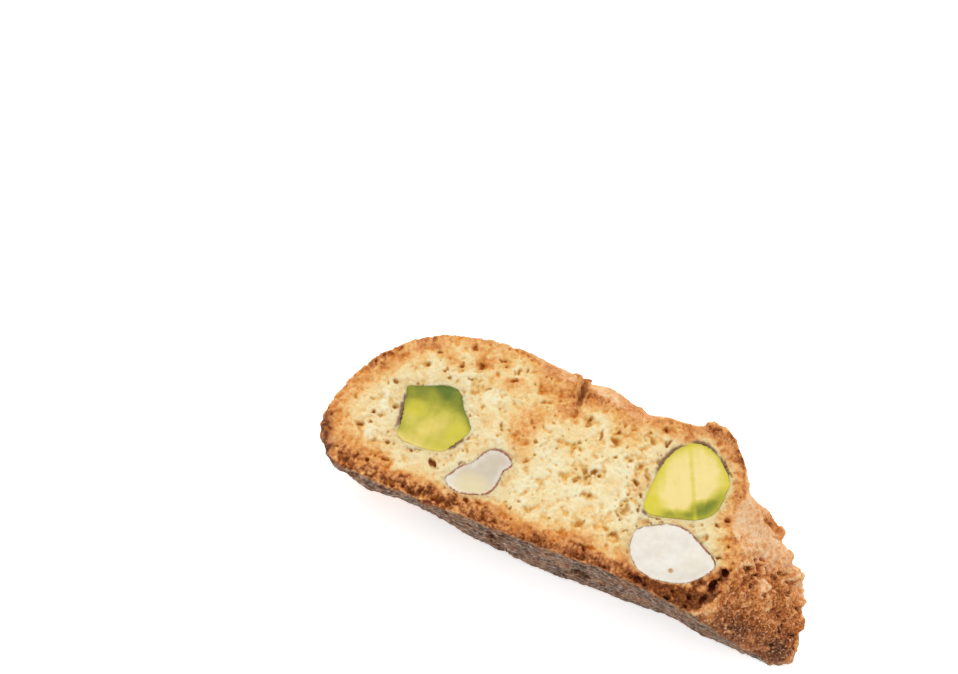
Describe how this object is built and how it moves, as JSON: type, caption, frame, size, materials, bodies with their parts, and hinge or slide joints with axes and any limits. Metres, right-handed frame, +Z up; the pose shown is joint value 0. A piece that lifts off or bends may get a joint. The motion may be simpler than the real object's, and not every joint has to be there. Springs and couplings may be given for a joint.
{
  "type": "biscotto",
  "caption": "Skew slice of a twice-baked almond and pistachio biscotti log, lying on a cut face, with cut kernels set in pale crumb inside a browned crust.",
  "frame": {"origin": "on the ground under the middle of the slice's bounding box", "axes": "+Z up through the slice's thickness, out of the shown cut face; +X along the log's flat bottom crust, towards the end where the crust slopes out below the shown face; +Y towards the domed crust"},
  "size_m": [0.0764, 0.0276, 0.013],
  "materials": {
    "biscuit_crumb": "dry baked crumb and crust, matt and open",
    "pistachio": "cut kernel, smooth and slightly waxy, dark skin at its rim",
    "almond": "cut kernel, smooth and slightly waxy, thin brown skin at its rim"
  },
  "bodies": {
    "root": {"biscuit": "biscuit_crumb", "pistachio_left": "pistachio", "pistachio_right": "pistachio", "almond_left": "almond", "almond_right": "almond"}
  },
  "joints": []
}
